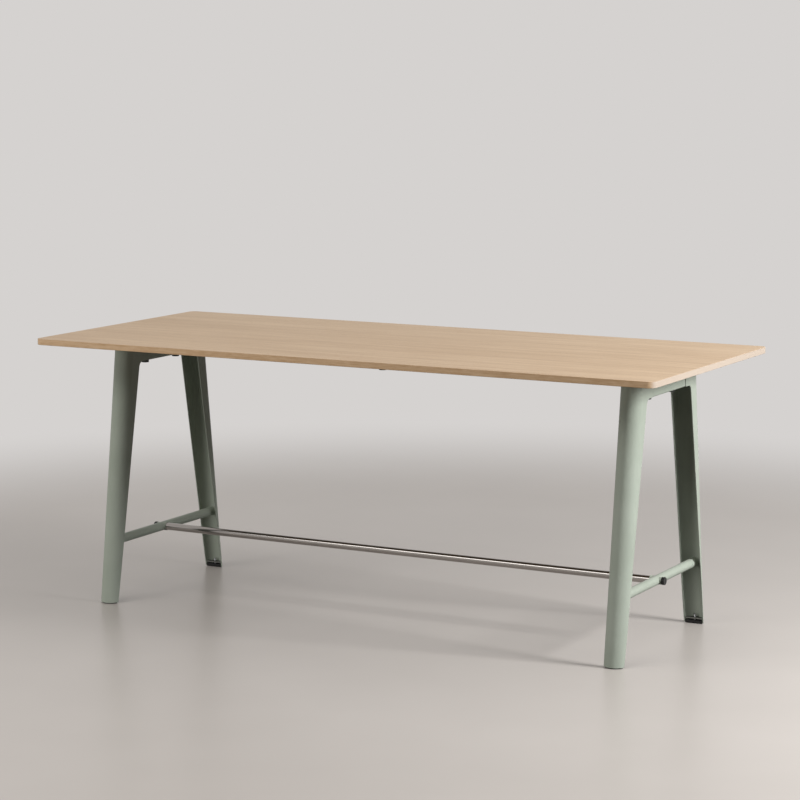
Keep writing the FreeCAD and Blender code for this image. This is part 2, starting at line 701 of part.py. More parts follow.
def make_foot_plate(label, end_x, turn):
    body = new_body("foot_plate_" + label)
    ground = sketch_on(body, "XY_Plane", "Sizes.foot_plate_height")
    plan = segment(ground, "Places.plate_axis", "Places.cope_radius", "Places.plate_edge")
    pad(body, plan, "Sizes.foot_plate_thickness")
    pocket(body, circle(sketch_on(body, "XY_Plane"), "0", "Places.foot_y", "Places.thread_radius"))
    place(body, turn, x=end_x)


def make_glide(label, end_x, turn):
    """The pad that fills the half-pipe's foot, with its straight side in line with the cheeks' edges."""
    body = new_body("glide_" + label)
    plan = segment(sketch_on(body, "XY_Plane"), "Places.glide_axis", "Places.glide_radius", "Places.rim_foot")
    block = pad(body, plan, "Sizes.glide_height")
    eased = body.newObject("PartDesign::Chamfer", "eased_edges")
    eased.Base = (block, level_edges(block))
    bind(eased, Size="Sizes.glide_chamfer")
    doc.recompute()
    bore = sketch_on(body, "XY_Plane", "Sizes.foot_screw_seat")
    pocket(body, circle(bore, "0", "Places.foot_y", "Places.core_radius"), "One side", reverse=True)
    place(body, turn, x=end_x)


# Inserts and washers: equal rings at the six thumb screws under the top
def make_rings(label, radius, bore, length, levels):
    """One group of rings; levels gives the height of the rings at the trestles and at mid-length."""
    rings = []
    for across, level in zip(("-Places.frame_x", "0", "Places.frame_x"), (levels[0], levels[1], levels[0])):
        for up in ("-Sizes.knob_offset", "Sizes.knob_offset"):
            outside = bind(doc.addObject("Part::Cylinder", "outside"), Radius=radius, Height=length)
            hole = bind(doc.addObject("Part::Cylinder", "hole"), Radius=bore, Height=length)
            ring = doc.addObject("Part::Cut", "ring")
            ring.Base = outside
            ring.Tool = hole
            rings.append(place(ring, x=across, y=up, z=level))
    group = doc.addObject("Part::Compound", "rings")
    group.Links = rings
    sub_part(group, label, len(rings))


make_tabletop()
make_rings(
    "tabletop_inserts",
    "Places.insert_radius",
    "Places.thread_radius",
    "Sizes.insert_length",
    ("Places.underside", "Places.underside"),
)
make_rings(
    "knob_washers",
    "Places.washer_radius",
    "Places.bolt_radius",
    "Sizes.washer_thickness",
    ("Places.leg_washer_low", "Places.mid_washer_low"),
)
for row, sign in (("front", "-"), ("back", "")):
    make_stiffener(row, sign)
    knob_y = sign + "Sizes.knob_offset"
    make_thumb_screw("stiffener_" + row, "mid_screw", y=knob_y, z="Places.mid_knob_low")
for label, end_x, sign, turn in CORNERS:
    make_leg(label, end_x, turn)
    make_tongue(label, end_x, turn)
    knob_y = sign + "Sizes.knob_offset"
    make_thumb_screw("leg_" + label, "leg_screw", x=end_x, y=knob_y, z="Places.leg_knob_low")
    make_foot_plate(label, end_x, turn)
    make_glide(label, end_x, turn)
    levelling = make_screw(
        "levelling_screw_" + label,
        "Sizes.foot_screw_seat",
        "Places.foot_screw_shoulder",
        "Sizes.foot_screw_top",
    )
    place(levelling, x=end_x, y=sign + "Places.foot_y")
bar = make_tube_along_x("footrest_bar", "Places.bar_radius", "Places.bar_bore", "2 * Places.bar_end", True)
place(bar, z="Sizes.rail_height")
for (end, end_x), sign, turn in zip(ENDS, ("-", ""), (180, 0)):
    make_beam(end, end_x)
    make_rail(end, end_x)
    make_saddle("bar_socket_" + end, SOCKET, end_x, turn)
    make_saddle("knob_seat_" + end, SEAT, end_x, turn)
    plug = make_tube_along_x(
        "bar_plug_" + end, "Places.plug_radius", "Places.thread_radius", "Sizes.plug_length", False
    )
    place(plug, turn, x=sign + "Places.plug_inner_end", z="Sizes.rail_height")
    inwards = 90 if end == "left" else -90
    make_thumb_screw(
        "bar_" + end,
        "bar_screw",
        angle=inwards,
        axis=Vector(0, 1, 0),
        x=sign + "Places.bar_knob_out",
        z="Sizes.rail_height",
    )
doc.recompute()

# Every object has to be sound before anything is written
for item in doc.Objects:
    if "Invalid" in item.State or "Error" in item.State:
        raise RuntimeError(item.Label + " failed: " + ", ".join(item.State))
for item, solids in sub_parts:
    if item.Shape.isNull() or not item.Shape.isValid() or len(item.Shape.Solids) != solids:
        raise RuntimeError(item.Label + " has no sound shape")
for item, _ in sub_parts:
    item.Shape.exportStep("parts/" + item.Label + ".step")
print(len(sub_parts), "sub-parts written")
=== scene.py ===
"""The looks of the high table: an oak veneered top on two sage green trestles, with a stainless footrest bar.

Metres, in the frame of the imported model: X along the table, Y across it, +Z up, the floor at z = 0.
"""
import json
import math

import bmesh
import bpy
from mathutils import Matrix, Vector


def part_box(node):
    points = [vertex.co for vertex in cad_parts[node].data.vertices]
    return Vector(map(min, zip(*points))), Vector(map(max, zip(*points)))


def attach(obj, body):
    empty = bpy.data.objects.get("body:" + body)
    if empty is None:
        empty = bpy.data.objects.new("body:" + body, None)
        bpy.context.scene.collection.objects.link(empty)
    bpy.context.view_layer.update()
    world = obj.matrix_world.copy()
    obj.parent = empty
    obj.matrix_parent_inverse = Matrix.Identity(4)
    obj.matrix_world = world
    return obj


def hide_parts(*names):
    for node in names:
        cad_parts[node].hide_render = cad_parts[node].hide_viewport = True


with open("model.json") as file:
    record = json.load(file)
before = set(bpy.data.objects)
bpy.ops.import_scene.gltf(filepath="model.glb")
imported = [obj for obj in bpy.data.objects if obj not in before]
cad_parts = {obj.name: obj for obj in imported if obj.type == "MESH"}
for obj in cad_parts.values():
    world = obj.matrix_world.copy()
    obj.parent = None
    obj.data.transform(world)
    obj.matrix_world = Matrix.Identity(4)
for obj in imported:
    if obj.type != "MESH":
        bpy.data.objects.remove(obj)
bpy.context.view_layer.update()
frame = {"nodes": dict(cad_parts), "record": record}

bodies = frame["record"]["behaviour"]["bodies"]
body_of = {node: body for body, nodes in bodies.items() for node in nodes}

CORNERS = ("front_left", "back_left", "front_right", "back_right")
ROWS = ("front", "back")
ENDS = ("left", "right")
MM = 0.001


# Node graphs
class Value:
    """One output socket of a graph; an expression on values adds its Math nodes."""

    def __init__(self, graph, socket):
        self.graph = graph
        self.socket = socket

    def maths(self, operation, *terms):
        return self.graph.node("ShaderNodeMath", {"operation": operation}, dict(enumerate(terms)))

    def __add__(self, other):
        return self.maths("ADD", self, other)

    def __radd__(self, other):
        return self.maths("ADD", other, self)

    def __sub__(self, other):
        return self.maths("SUBTRACT", self, other)

    def __rsub__(self, other):
        return self.maths("SUBTRACT", other, self)

    def __mul__(self, other):
        return self.maths("MULTIPLY", self, other)

    def __rmul__(self, other):
        return self.maths("MULTIPLY", other, self)

    def __truediv__(self, other):
        return self.maths("DIVIDE", self, other)

    def __rtruediv__(self, other):
        return self.maths("DIVIDE", other, self)

    def __abs__(self):
        return self.maths("ABSOLUTE", self)

    def __gt__(self, limit):
        return self.maths("GREATER_THAN", self, limit)

    def __lt__(self, limit):
        return self.maths("LESS_THAN", self, limit)

    def floor(self):
        return self.maths("FLOOR", self)

    def sine(self):
        return self.maths("SINE", self)

    def ease(self, low, high):
        """0 below low and 1 above high, smooth between them."""
        return self.graph.node(
            "ShaderNodeMapRange",
            {"interpolation_type": "SMOOTHSTEP"},
            {"Value": self, "From Min": low, "From Max": high},
        )


class Graph:
    """A node tree that is being built."""

    # A Mix node repeats its sockets' names for each kind of value, so those for colours go by number
    MIX_SHARE = 0
    MIX_FIRST = 6
    MIX_SECOND = 7
    MIX_RESULT = 2

    def __init__(self, tree):
        self.tree = tree

    def node(self, kind, settings=None, inputs=None, output=0):
        """Add a node, settings first, then its sockets; returns one output, or several for a tuple."""
        node = self.tree.nodes.new(kind)
        for name, setting in (settings or {}).items():
            setattr(node, name, setting)
        for key, value in (inputs or {}).items():
            if isinstance(value, Value):
                self.tree.links.new(value.socket, node.inputs[key])
            else:
                node.inputs[key].default_value = value
        if isinstance(output, tuple):
            return tuple(Value(self, node.outputs[name]) for name in output)
        return Value(self, node.outputs[output])

    def blend(self, share, first, second):
        """Colours: first where share is 0, second where it is 1."""
        inputs = {self.MIX_SHARE: share, self.MIX_FIRST: first, self.MIX_SECOND: second}
        return self.node("ShaderNodeMix", {"data_type": "RGBA"}, inputs, output=self.MIX_RESULT)

    def split(self, vector):
        return self.node("ShaderNodeSeparateXYZ", inputs={"Vector": vector}, output=("X", "Y", "Z"))

    def vector(self, **parts):
        return self.node("ShaderNodeCombineXYZ", inputs=parts)


class Finish(Graph):
    """A procedural material on one Principled shader; constants go straight on the shader's sockets."""

    def __init__(self, name, **constants):
        self.material = bpy.data.materials.new(name)
        self.material.use_nodes = True
        super().__init__(self.material.node_tree)
        self.shader = self.tree.nodes["Principled BSDF"]
        for socket, value in constants.items():
            self.shader.inputs[socket.replace("_", " ")].default_value = value
        self.place = self.node("ShaderNodeTexCoord", output="Object")

    def feed(self, **varying):
        """Link values to the shader's sockets, named with underscores."""
        for socket, value in varying.items():
            self.tree.links.new(value.socket, self.shader.inputs[socket.replace("_", " ")])

    def stretched(self, scale):
        return self.node("ShaderNodeMapping", inputs={"Vector": self.place, "Scale": scale})

    def noise(self, where, scale, detail, roughness=0.5):
        """Noise with about as many features per unit of its coordinates as the scale says."""
        inputs = {"Vector": where, "Scale": scale, "Detail": detail, "Roughness": roughness}
        return self.node("ShaderNodeTexNoise", inputs=inputs)

    def bump(self, height, strength, distance):
        inputs = {"Height": height, "Strength": strength, "Distance": distance}
        return self.node("ShaderNodeBump", inputs=inputs)


def paint(red, green, blue):
    """A colour given as it looks on a screen, 0 to 255, in the linear values that shaders take."""
    shares = [value / 255 for value in (red, green, blue)]
    linear = [s / 12.92 if s <= 0.04045 else ((s + 0.055) / 1.055) ** 2.4 for s in shares]
    return (*linear, 1.0)


# Finishes
def oak_veneer():
    """Plain-sawn oak in leaves along X, with growth rings, fibres, open pores and a lipped edge."""
    leaf_width = 0.158
    leaf_shift = 7.0
    ring_turn = 520.0
    ring_wander = 40.0
    veneer = 0.7 * MM
    glue_line = 0.22 * MM
    end_limit = 0.75
    edge_limit = 0.7
    dark_wood = paint(180, 149, 115)
    pale_wood = paint(215, 188, 156)
    pore_brown = paint(132, 99, 68)
    lipping = paint(202, 160, 116)
    # Paler, greyer wood for the faces towards the ends: a painted highlight for the washed-out look of strong
    # side light
    end_highlight = paint(177, 166, 155)
    glue_brown = paint(120, 90, 62)

    top_low, top_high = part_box("tabletop")
    oak = Finish("oak_veneer", Specular_IOR_Level=0.35)
    x, y, z = oak.split(oak.place)
    normal = oak.node("ShaderNodeNewGeometry", output="Normal")
    facing_x, _, facing_z = oak.split(normal)
    on_end = abs(facing_x) > end_limit
    on_edge = abs(facing_z) < edge_limit
    leaf = (y / leaf_width + 0.5).floor()
    leaf_tone = oak.node("ShaderNodeTexWhiteNoise", {"noise_dimensions": "1D"}, {"W": leaf})
    along = x * (1 - on_end) + y * on_end + leaf_tone * leaf_shift * (1 - on_edge)
    across = y * (1 - on_end) + x * on_end

    def grain(lengthwise, crosswise, deep, detail, roughness=0.5):
        """Noise with so many features per metre along the grain, across it and through the board."""
        where = oak.vector(X=along * lengthwise, Y=across * crosswise, Z=z * deep)
        return oak.noise(where, 1.0, detail, roughness)

    cloud = grain(0.7, 5.0, 5.0, 2.0)
    warp = grain(0.6, 3.4, 3.4, 2.0)
    figure = grain(2.4, 85.0, 85.0, 3.0, 0.55)
    fibres = grain(7.0, 380.0, 380.0, 4.0, 0.6)
    flecks = grain(30.0, 90.0, 170.0, 3.0, 0.6)
    pore_noise = grain(45.0, 1500.0, 1500.0, 1.0)
    rings = (across * ring_turn + z * ring_turn + warp * ring_wander).sine() * 0.5 + 0.5
    pores = pore_noise.ease(0.58, 0.7) * rings.ease(0.25, 0.8)
    tone = (
        0.5
        + (rings - 0.5) * 0.12
        + (figure - 0.5) * 0.75
        + (fibres - 0.5) * 0.95
        + (cloud - 0.5) * 0.3
        + (leaf_tone - 0.5) * 0.07 * (1 - on_edge)
        + (flecks - 0.5) * 1.1 * on_edge
    )
    from_top = abs(z - (top_high.z - veneer))
    from_bottom = abs(z - (top_low.z + veneer))
    glue = ((from_top < glue_line) + (from_bottom < glue_line)) * on_edge
    wood = oak.blend(tone.ease(0.1, 0.9), dark_wood, pale_wood)
    wood = oak.blend(pores * 0.4, wood, pore_brown)
    wood = oak.blend(on_edge * 0.35, wood, lipping)
    # Painted highlight: faces towards ±X blend into the paler, greyer end colour
    wood = oak.blend(abs(facing_x).ease(0.3, 1.0) * 0.8, wood, end_highlight)
    wood = oak.blend(glue * 0.5, wood, glue_brown)
    height = fibres * 0.5 + rings * 0.12 - pores * 0.8
    oak.feed(
        Base_Color=wood,
        Roughness=0.46 + (fibres - 0.5) * 0.2 + pores * 0.12,
        Normal=oak.bump(height, 0.18, 0.15 * MM),
    )
    return oak.material


def sage_powder_coat():
    """A matt sage green coat with the fine orange peel of baked powder."""
    dark_sage = paint(154, 161, 148)
    pale_sage = paint(167, 173, 161)
    coat = Finish("sage_powder_coat", Specular_IOR_Level=0.12)
    peel = coat.noise(coat.place, 850.0, 1.0)
    drift = coat.noise(coat.place, 7.0, 2.0)
    grit = coat.noise(coat.place, 2600.0, 0.0)
    shade = 0.5 + (drift - 0.5) * 0.9 + (grit - 0.5) * 0.5
    coat.feed(
        Base_Color=coat.blend(shade.ease(0.1, 0.9), dark_sage, pale_sage),
        Roughness=0.48 + (peel - 0.5) * 0.2 + (drift - 0.5) * 0.06,
        Normal=coat.bump(peel + grit * 0.35, 0.22, 0.12 * MM),
    )
    return coat.material


def brushed_stainless():
    """Stainless tube brushed along its length."""
    dark_steel = paint(148, 143, 139)
    pale_steel = paint(178, 174, 170)
    steel = Finish("brushed_stainless", Metallic=1.0)
    streaks = steel.noise(steel.stretched((2.5, 1400.0, 1400.0)), 1.0, 3.0)
    smears = steel.noise(steel.stretched((1.2, 30.0, 30.0)), 1.0, 2.0)
    steel.feed(
        Base_Color=steel.blend(streaks * 0.7 + smears * 0.3, dark_steel, pale_steel),
        Roughness=0.1 + streaks * 0.08 + (smears - 0.5) * 0.05,
        Normal=steel.bump(streaks, 0.06, 0.04 * MM),
    )
    return steel.material


def zinc_plate(name, dark, pale, roughness):
    """Zinc with the cloudy spangle of plating."""
    zinc = Finish(name, Metallic=1.0)
    spangle = zinc.noise(zinc.place, 420.0, 2.0)
    fine = zinc.noise(zinc.place, 2400.0, 1.0)
    zinc.feed(
        Base_Color=zinc.blend(spangle, dark, pale),
        Roughness=roughness + spangle * 0.16 + (fine - 0.5) * 0.06,
        Normal=zinc.bump(fine, 0.1, 0.03 * MM),
    )
    return zinc.material


def black_nylon():
    """Glass-filled black nylon, spark-eroded grain."""
    nylon = Finish("black_nylon", Specular_IOR_Level=0.4)
    grain = nylon.noise(nylon.place, 2300.0, 2.0)
    bloom = nylon.noise(nylon.place, 130.0, 2.0)
    nylon.feed(
        Base_Color=nylon.blend(grain * 0.6 + bloom * 0.4, paint(17, 17, 17), paint(33, 33, 32)),
        Roughness=0.5 + (bloom - 0.5) * 0.16,
        Normal=nylon.bump(grain, 0.3, 0.05 * MM),
    )
    return nylon.material


oak = oak_veneer()
sage = sage_powder_coat()
stainless = brushed_stainless()
bright_zinc = zinc_plate("bright_zinc", paint(190, 192, 196), paint(220, 221, 223), 0.2)
# A darker zinc for the foot plates: partly a duller plating, partly painted shade for plates that sit in the
# shade inside the feet
dull_zinc = zinc_plate("dull_zinc", paint(112, 114, 110), paint(138, 139, 135), 0.4)
nylon = black_nylon()


# Meshes and pieces
def add_piece(name, mesh, finish, slot, body, *nodes):
    """A finished piece that rides on a body and stands for the nodes."""
    mesh.materials.clear()
    mesh.materials.append(finish)
    piece = bpy.data.objects.new(name, mesh)
    bpy.context.scene.collection.objects.link(piece)
    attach(piece, body)
    if nodes:
        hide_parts(*nodes)


def shade_by_area(mesh, sharp_angle):
    """Smooth shading in which the large faces stay flat and edges over the angle stay sharp."""
    limit = math.cos(sharp_angle)
    faces = mesh.polygons
    weighted = [face.normal * face.area for face in faces]
    around = [[] for _ in mesh.vertices]
    for face in faces:
        for corner in face.vertices:
            around[corner].append(face.index)
    corner_normals = []
    for face in faces:
        for corner in face.vertices:
            alike = [other for other in around[corner] if faces[other].normal.dot(face.normal) > limit]
            corner_normals.append(sum((weighted[other] for other in alike), Vector()).normalized())
    faces.foreach_set("use_smooth", [True] * len(faces))
    mesh.normals_split_custom_set(corner_normals)


def eased_copy(look, node, finish, slot, ease=0.0):
    """The node's own form as one closed shell, its sharp edges eased by a small round."""
    weld_distance = 0.002 * MM
    flat_angle = math.radians(0.2)
    sharp_angle = math.radians(38)
    shell = bmesh.new()
    shell.from_mesh(frame["nodes"][node].data)
    bmesh.ops.remove_doubles(shell, verts=shell.verts, dist=weld_distance)
    bmesh.ops.dissolve_limit(shell, angle_limit=flat_angle, verts=shell.verts, edges=shell.edges)
    if ease:
        sharp = [edge for edge in shell.edges if edge.is_manifold and edge.calc_face_angle() > sharp_angle]
        bmesh.ops.bevel(
            shell,
            geom=sharp,
            offset=ease,
            segments=2,
            profile=0.5,
            affect="EDGES",
            clamp_overlap=True,
        )
    mesh = bpy.data.meshes.new(f"{look}_{node}")
    shell.to_mesh(mesh)
    shell.free()
    shade_by_area(mesh, sharp_angle)
    add_piece(f"{look}_{node}", mesh, finish, slot, body_of[node], node)


def grow(name, tree, sizes, finish, seed_mesh=None):
    """Run a geometry tree on a mesh with its named sizes and return the plain mesh that it makes."""
    holder = bpy.data.objects.new(name, seed_mesh or bpy.data.meshes.new(name))
    bpy.context.scene.collection.objects.link(holder)
    modifier = holder.modifiers.new(name, "NODES")
    modifier.node_group = tree
    for item in tree.interface.items_tree:
        if item.in_out == "INPUT" and item.name in sizes:
            modifier[item.identifier] = sizes[item.name]
        if item.in_out == "INPUT" and item.name == "Finish":
            modifier[item.identifier] = finish
    evaluated = holder.evaluated_get(bpy.context.evaluated_depsgraph_get())
    mesh = bpy.data.meshes.new_from_object(evaluated)
    holder.modifiers.remove(modifier)
    bpy.data.objects.remove(holder)
    return mesh


def new_tree(name, **inputs):
    """A geometry tree with named inputs; returns its graph, then its starting geometry and inputs."""
    tree = bpy.data.node_groups.new(name, "GeometryNodeTree")
    tree.interface.new_socket(name="Geometry", in_out="INPUT", socket_type="NodeSocketGeometry")
    for label, kind in inputs.items():
        tree.interface.new_socket(name=label, in_out="INPUT", socket_type="NodeSocket" + kind)
    tree.interface.new_socket(name="Finish", in_out="INPUT", socket_type="NodeSocketMaterial")
    tree.interface.new_socket(name="Geometry", in_out="OUTPUT", socket_type="NodeSocketGeometry")
    graph = Graph(tree)
    start = graph.node("NodeGroupInput", output=("Geometry", *inputs, "Finish"))
    return graph, start


def end_tree(graph, geometry, finish, merge=0.0):
    """Realize, close seams, shade smooth, set the material and hand the geometry out."""
    solid = graph.node("GeometryNodeRealizeInstances", inputs={"Geometry": geometry})
    if merge:
        solid = graph.node("GeometryNodeMergeByDistance", inputs={"Geometry": solid, "Distance": merge})
    smooth = graph.node("GeometryNodeSetShadeSmooth", inputs={"Geometry": solid})
    dressed = graph.node("GeometryNodeSetMaterial", inputs={"Geometry": smooth, "Material": finish})
    output = graph.tree.nodes.new("NodeGroupOutput")
    graph.tree.links.new(dressed.socket, output.inputs["Geometry"])
    return graph.tree


# Places of the thumb screws and levelling screws
def screw_axis(node):
    """The way a thread points: up under the top and in the feet, inwards at the bar's ends."""
    if node.startswith("bar_left"):
        return Vector((1, 0, 0))
    if node.startswith("bar_right"):
        return Vector((-1, 0, 0))
    return Vector((0, 0, 1))


def axis_frame(node, axis):
    """Puts a piece drawn along +Z from the origin into a node's box, pointing along the axis."""
    low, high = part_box(node)
    start = low if sum(axis) > 0 else high
    spot = Vector([start[i] if axis[i] else (low[i] + high[i]) / 2 for i in range(3)])
    turn = Vector((0, 0, 1)).rotation_difference(axis)
    return Matrix.Translation(spot) @ turn.to_matrix().to_4x4()


def length_of(node, axis):
    """The size of a node's box along the axis."""
    low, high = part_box(node)
    return abs((Vector(high) - Vector(low)).dot(axis))


# Thumb screw heads: one lobe of the grip, repeated round the axis
FLUTES = 16
FLUTE_RADIUS = 2.0 * MM
FLUTE_DEPTH = 0.5 * MM
LOBE_STEPS = 12
LOBE_SEAM = 0.004 * MM
KNOB_BORE = 4.05 * MM
KNOB_CORE_DEPTH = 4.5 * MM


def knob_profile(radius, height):
    """Radius and height along the head's outline, from the middle of its dish to the bottom of its bore."""
    dish = 0.72 * radius
    dish_floor = 0.3 * dish
    dish_depth = 0.8 * MM
    dish_step = 0.45 * dish_depth
    dish_wall = 0.5 * MM
    dish_lip = 0.35 * MM
    collar = 0.72 * radius
    collar_height = 1.0 * MM
    collar_ease = 0.2 * MM
    edge = 1.0 * MM
    edge_steps = 4
    quarter = [math.pi / 2 * step / edge_steps for step in range(edge_steps + 1)]
    rim = radius - edge
    top = height - collar_height
    bore_end = height - KNOB_CORE_DEPTH
    outline = [(0.0, dish_depth), (dish_floor, dish_depth), (dish - dish_wall, dish_depth)]
    outline += [(dish, dish_step), (dish + dish_lip, 0.0)]
    outline += [(rim + edge * math.sin(turn), edge - edge * math.cos(turn)) for turn in quarter]
    outline += [(rim + edge * math.cos(turn), top - edge + edge * math.sin(turn)) for turn in quarter]
    outline += [(collar + collar_ease, top), (collar, top + collar_ease)]
    outline += [(collar, height - collar_ease), (collar - collar_ease, height)]
    outline += [(KNOB_BORE, height), (KNOB_BORE, bore_end), (0.0, bore_end)]
    return outline


def knob_lobe(radius, height):
    """One sector of a head, with half a rib on each side of one flute."""
    weld_distance = 0.001 * MM
    sector = 2 * math.pi / FLUTES
    flute_axis = radius + FLUTE_RADIUS - FLUTE_DEPTH
    lobe = bmesh.new()
    rows = []
    for step in range(LOBE_STEPS + 1):
        turn = sector * (step / LOBE_STEPS - 0.5)
        inside = FLUTE_RADIUS**2 - (flute_axis * math.sin(turn)) ** 2
        limit = flute_axis * math.cos(turn) - math.sqrt(inside) if inside > 0 else radius
        row = []
        for reach, level in knob_profile(radius, height):
            cut = min(reach, limit)
            row.append(lobe.verts.new((cut * math.cos(turn), cut * math.sin(turn), level)))
        rows.append(row)
    for here, there in zip(rows, rows[1:]):
        for low in range(len(here) - 1):
            high = low + 1
            lobe.faces.new((here[low], here[high], there[high], there[low]))
    bmesh.ops.remove_doubles(lobe, verts=lobe.verts, dist=weld_distance)
    mesh = bpy.data.meshes.new("knob_lobe")
    lobe.to_mesh(mesh)
    lobe.free()
    return mesh


def knob_tree():
    """The lobe repeated round Z."""
    graph, (lobe, count, finish) = new_tree("knob_grip", Count="Int")
    index = graph.node("GeometryNodeInputIndex")
    turn = graph.vector(Z=index * (2 * math.pi) / count)
    points = graph.node("GeometryNodePoints", inputs={"Count": count})
    instance = graph.node("GeometryNodeGeometryToInstance", inputs={"Geometry": lobe})
    inputs = {"Points": points, "Instance": instance, "Rotation": turn}
    ring = graph.node("GeometryNodeInstanceOnPoints", inputs=inputs)
    return end_tree(graph, ring, finish, merge=LOBE_SEAM)


def soften(mesh):
    """Outward faces, and shading that keeps the grip's creases."""
    crease = math.radians(50)
    shell = bmesh.new()
    shell.from_mesh(mesh)
    bmesh.ops.recalc_face_normals(shell, faces=shell.faces)
    shell.to_mesh(mesh)
    shell.free()
    shade_by_area(mesh, crease)


def add_knobs():
    """The heads of the eight thumb screws."""
    tree = knob_tree()
    stems = [f"leg_{corner}" for corner in CORNERS] + [f"stiffener_{row}" for row in ROWS]
    stems += [f"bar_{end}" for end in ENDS]
    for stem in stems:
        node = stem + "_knob"
        axis = screw_axis(node)
        low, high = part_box(node)
        sideways = 1 if axis.x else 0
        radius = (high[sideways] - low[sideways]) / 2
        lobe = knob_lobe(radius, length_of(node, axis))
        mesh = grow("grip_" + stem, tree, {"Count": FLUTES}, nylon, lobe)
        mesh.transform(axis_frame(node, axis))
        soften(mesh)
        add_piece("grip_" + stem, mesh, nylon, "black_plastic", body_of[node], node)


# Screws: a ridge wound round a core
PITCH = 1.25 * MM
RIDGE = 0.55 * MM
RIDGE_SIDES = 5
TURN_STEPS = 18
CORE_SIDES = 24


def thread_tree():
    """A core along +Z with a ridge wound round it, which stops short of both ends."""
    graph, (_, length, radius, pitch, ridge, finish) = new_tree(
        "screw_thread", Length="Float", Radius="Float", Pitch="Float", Ridge="Float"
    )
    core_radius = radius - ridge
    end_gap = ridge * 2.0
    run = length - end_gap * 2.0
    spiral_inputs = {
        "Resolution": TURN_STEPS,
        "Rotations": run / pitch,
        "Start Radius": core_radius,
        "End Radius": core_radius,
        "Height": run,
    }
    spiral = graph.node("GeometryNodeCurveSpiral", inputs=spiral_inputs)
    raised_inputs = {"Geometry": spiral, "Translation": graph.vector(Z=end_gap)}
    raised = graph.node("GeometryNodeTransform", inputs=raised_inputs)
    section_inputs = {"Resolution": RIDGE_SIDES, "Radius": ridge}
    section = graph.node("GeometryNodeCurvePrimitiveCircle", {"mode": "RADIUS"}, section_inputs)
    wound_inputs = {"Curve": raised, "Profile Curve": section, "Fill Caps": True}
    wound = graph.node("GeometryNodeCurveToMesh", inputs=wound_inputs)
    core_inputs = {"Vertices": CORE_SIDES, "Radius": core_radius, "Depth": length}
    core = graph.node("GeometryNodeMeshCylinder", inputs=core_inputs, output="Mesh")
    standing_inputs = {"Geometry": core, "Translation": graph.vector(Z=length * 0.5)}
    standing = graph.node("GeometryNodeTransform", inputs=standing_inputs)
    both = graph.tree.nodes.new("GeometryNodeJoinGeometry")
    for part in (standing, wound):
        graph.tree.links.new(part.socket, both.inputs["Geometry"])
    return end_tree(graph, Value(graph, both.outputs["Geometry"]), finish)


def add_screws():
    """The threads of the thumb screws and the levelling screws in the feet."""
    tree = thread_tree()
    nodes = [f"leg_{corner}_screw" for corner in CORNERS] + [f"stiffener_{row}_screw" for row in ROWS]
    nodes += [f"bar_{end}_screw" for end in ENDS] + [f"levelling_screw_{corner}" for corner in CORNERS]
    for node in nodes:
        axis = screw_axis(node)
        low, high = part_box(node)
        radius = (high.y - low.y) / 2
        sizes = {"Length": length_of(node, axis), "Radius": radius, "Pitch": PITCH, "Ridge": RIDGE}
        mesh = grow("threaded_" + node, tree, sizes, bright_zinc)
        mesh.transform(axis_frame(node, axis))
        add_piece("threaded_" + node, mesh, bright_zinc, "zinc_steel", body_of[node], node)


# Weld beads: small drops laid along each seam
LEG_AXIS_TOP = 0.205
LEG_AXIS_FOOT = 0.315
LEG_INNER_RADIUS = 0.032
BEAD_RADIUS = 1.5 * MM
BEAD_STEP = 1.7 * MM
BEAD_SIDES = 8
BEAD_RINGS = 5


def leg_axis(level):
    """Distance of a half-pipe's axis from the middle plane at a height."""
    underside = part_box("tabletop")[0].z
    return LEG_AXIS_FOOT + (LEG_AXIS_TOP - LEG_AXIS_FOOT) * level / underside


def rail_seams():
    """Round each end of the cross rails, where it meets the inside of a leg."""
    seam_steps = 48
    seams = []
    for end in ENDS:
        low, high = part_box("footrest_rail_" + end)
        radius = (high.z - low.z) / 2
        middle_x = (low.x + high.x) / 2
        middle_z = (low.z + high.z) / 2
        for side in (-1, 1):
            seam = []
            for step in range(seam_steps + 1):
                turn = 2 * math.pi * step / seam_steps
                across = radius * math.cos(turn)
                level = middle_z + radius * math.sin(turn)
                reach = leg_axis(level) + math.sqrt(LEG_INNER_RADIUS**2 - across**2) - BEAD_RADIUS / 2
                seam.append(Vector((middle_x + across, side * reach, level)))
            seams.append(seam)
    return seams


def tongue_seams():
    """Along both sides of each tongue, on its lower face, where it lies between a leg's tabs."""
    tab_gap = 4 * BEAD_RADIUS
    seams = []
    for corner in CORNERS:
        low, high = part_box("tongue_" + corner)
        leg_low, leg_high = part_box("leg_" + corner)
        side = -1 if corner.startswith("front") else 1
        start = min(abs(leg_low.y), abs(leg_high.y)) + tab_gap
        stop = max(abs(low.y), abs(high.y))
        for flank in (low.x + BEAD_RADIUS / 2, high.x - BEAD_RADIUS / 2):
            seams.append([Vector((flank, side * reach, low.z)) for reach in (start, stop)])
    return seams


def bead_tree():
    """Drops at even steps along each path."""
    graph, (path, radius, step, finish) = new_tree("weld_bead", Radius="Float", Step="Float")
    curve = graph.node("GeometryNodeMeshToCurve", inputs={"Mesh": path})
    points = graph.node("GeometryNodeCurveToPoints", {"mode": "LENGTH"}, {"Curve": curve, "Length": step})
    drop_inputs = {"Segments": BEAD_SIDES, "Rings": BEAD_RINGS, "Radius": radius}
    drop = graph.node("GeometryNodeMeshUVSphere", inputs=drop_inputs, output="Mesh")
    beads = graph.node("GeometryNodeInstanceOnPoints", inputs={"Points": points, "Instance": drop})
    return end_tree(graph, beads, finish)


